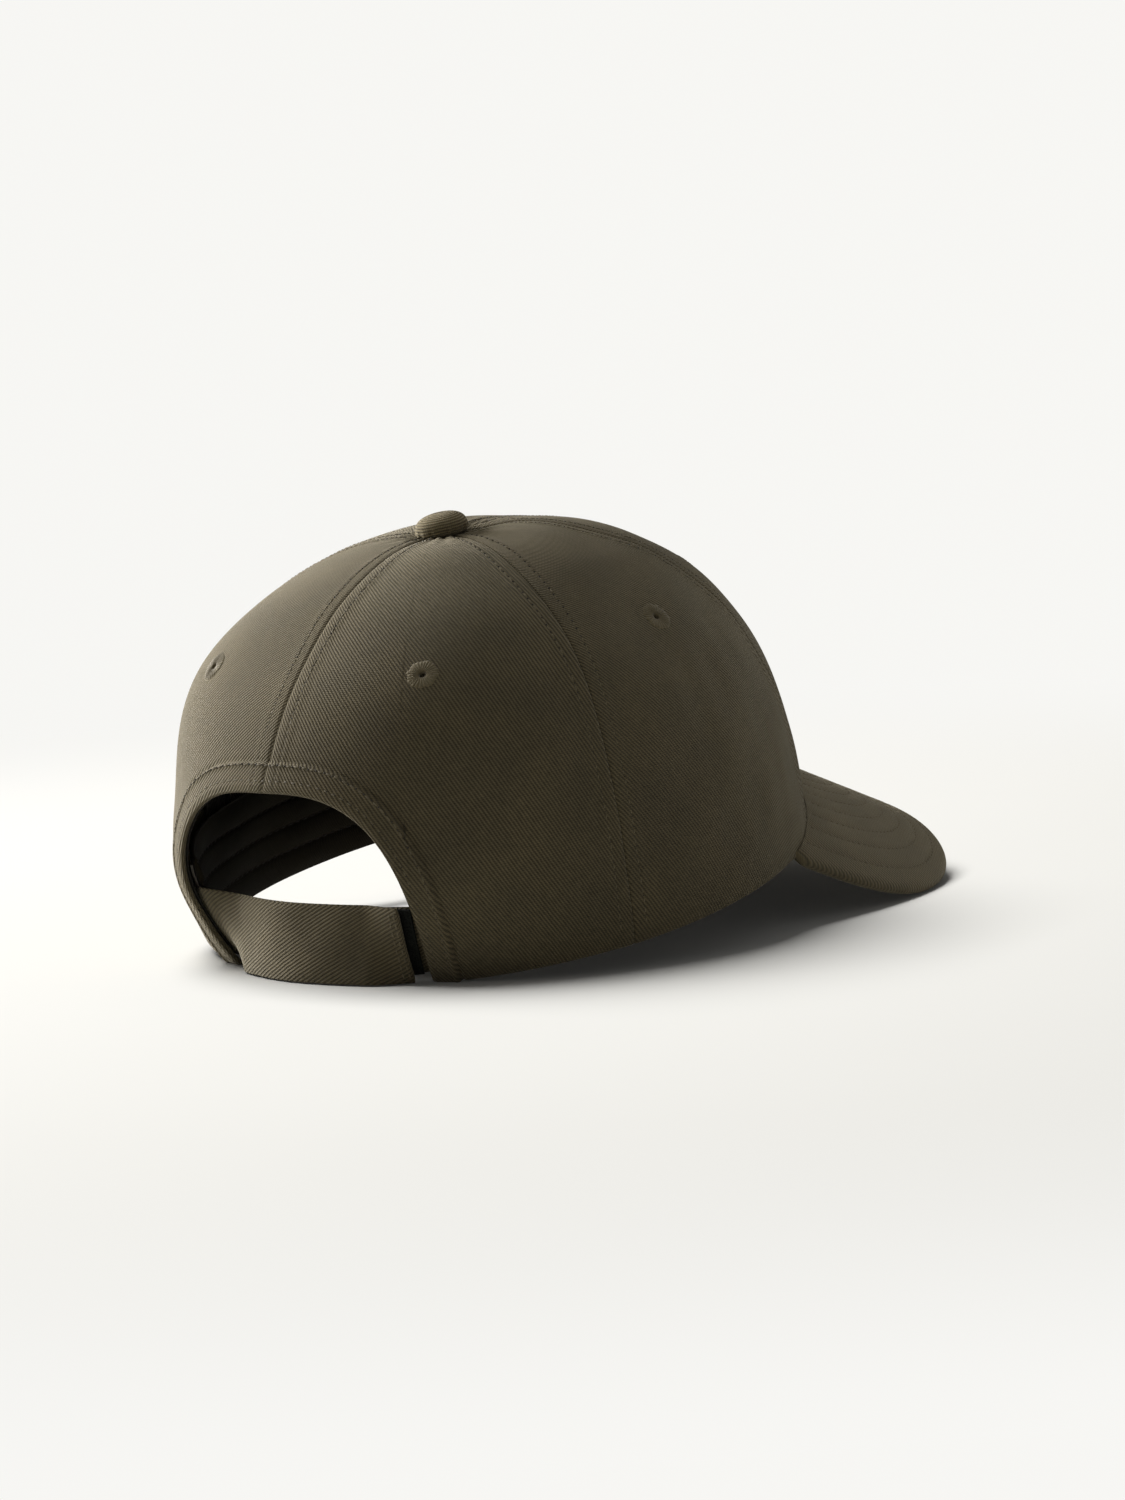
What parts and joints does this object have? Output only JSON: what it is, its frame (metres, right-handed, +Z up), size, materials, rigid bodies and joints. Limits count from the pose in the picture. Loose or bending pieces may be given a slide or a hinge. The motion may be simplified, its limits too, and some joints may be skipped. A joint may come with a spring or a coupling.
{
  "type": "baseball cap",
  "caption": "Panelled cloth baseball cap with a curved visor, embroidered eyelets, a covered top button and a hook-and-loop strap across the rear opening.",
  "frame": {"origin": "middle of the head opening, on the surface that the cap stands on", "axes": "+Z up, -Y towards the visor, +X towards the wearer's left"},
  "size_m": [0.168, 0.2477, 0.1223],
  "materials": {
    "twill": "brushed cotton twill, dark khaki olive",
    "visor_twill": "brushed cotton twill, dark khaki olive, stretched over the board",
    "tape_cloth": "cotton tape, dark olive",
    "eyelet_thread": "close satin stitch, slightly shiny",
    "sweatband_cloth": "fine cotton twill, dark",
    "interlining": "felted interlining",
    "buckram": "stiff open-weave cotton, dark",
    "label_cloth": "blank satin ribbon",
    "hook_and_loop": "nylon pile and hooks, near black",
    "board_plastic": "flexible polyethylene sheet",
    "steel": "pressed sheet"
  },
  "bodies": {
    "crown": {"panel_front_right": "twill", "panel_side_right": "twill", "panel_rear_right": "twill", "panel_front_left": "twill", "panel_side_left": "twill", "panel_rear_left": "twill", "buckram_right": "buckram", "buckram_left": "buckram", "seam_tape_front": "tape_cloth", "seam_tape_front_right": "tape_cloth", "seam_tape_side_right": "tape_cloth", "seam_tape_rear": "tape_cloth", "seam_tape_side_left": "tape_cloth", "seam_tape_front_left": "tape_cloth", "eyelet_front_right": "eyelet_thread", "eyelet_side_right": "eyelet_thread", "eyelet_rear_right": "eyelet_thread", "eyelet_front_left": "eyelet_thread", "eyelet_side_left": "eyelet_thread", "eyelet_rear_left": "eyelet_thread", "button_cover": "twill", "button_shell": "steel", "button_rivet": "steel", "sweatband_core": "interlining", "sweatband_face": "sweatband_cloth", "care_label": "label_cloth", "opening_tape": "tape_cloth", "visor_top_cover": "visor_twill", "visor_board": "board_plastic", "visor_under_cover": "visor_twill", "strap_sewn_part": "twill", "tab": "tape_cloth", "loop_tape": "hook_and_loop"},
    "strap_arm": {"strap_middle": "twill"},
    "strap_tip": {"strap_end": "twill", "hook_tape": "hook_and_loop"}
  },
  "joints": [
    {"name": "strap_swing", "type": "hinge", "parent": "crown", "child": "strap_arm", "pos_m": [0.01963, 0.08125, 0.0114], "axis": [0, 0, -1], "range_deg": [0, 75]},
    {"name": "strap_peel", "type": "hinge", "parent": "strap_arm", "child": "strap_tip", "pos_m": [-0.00806, 0.08543, 0.0114], "axis": [0, 0, -1], "range_deg": [0, 100]}
  ]
}
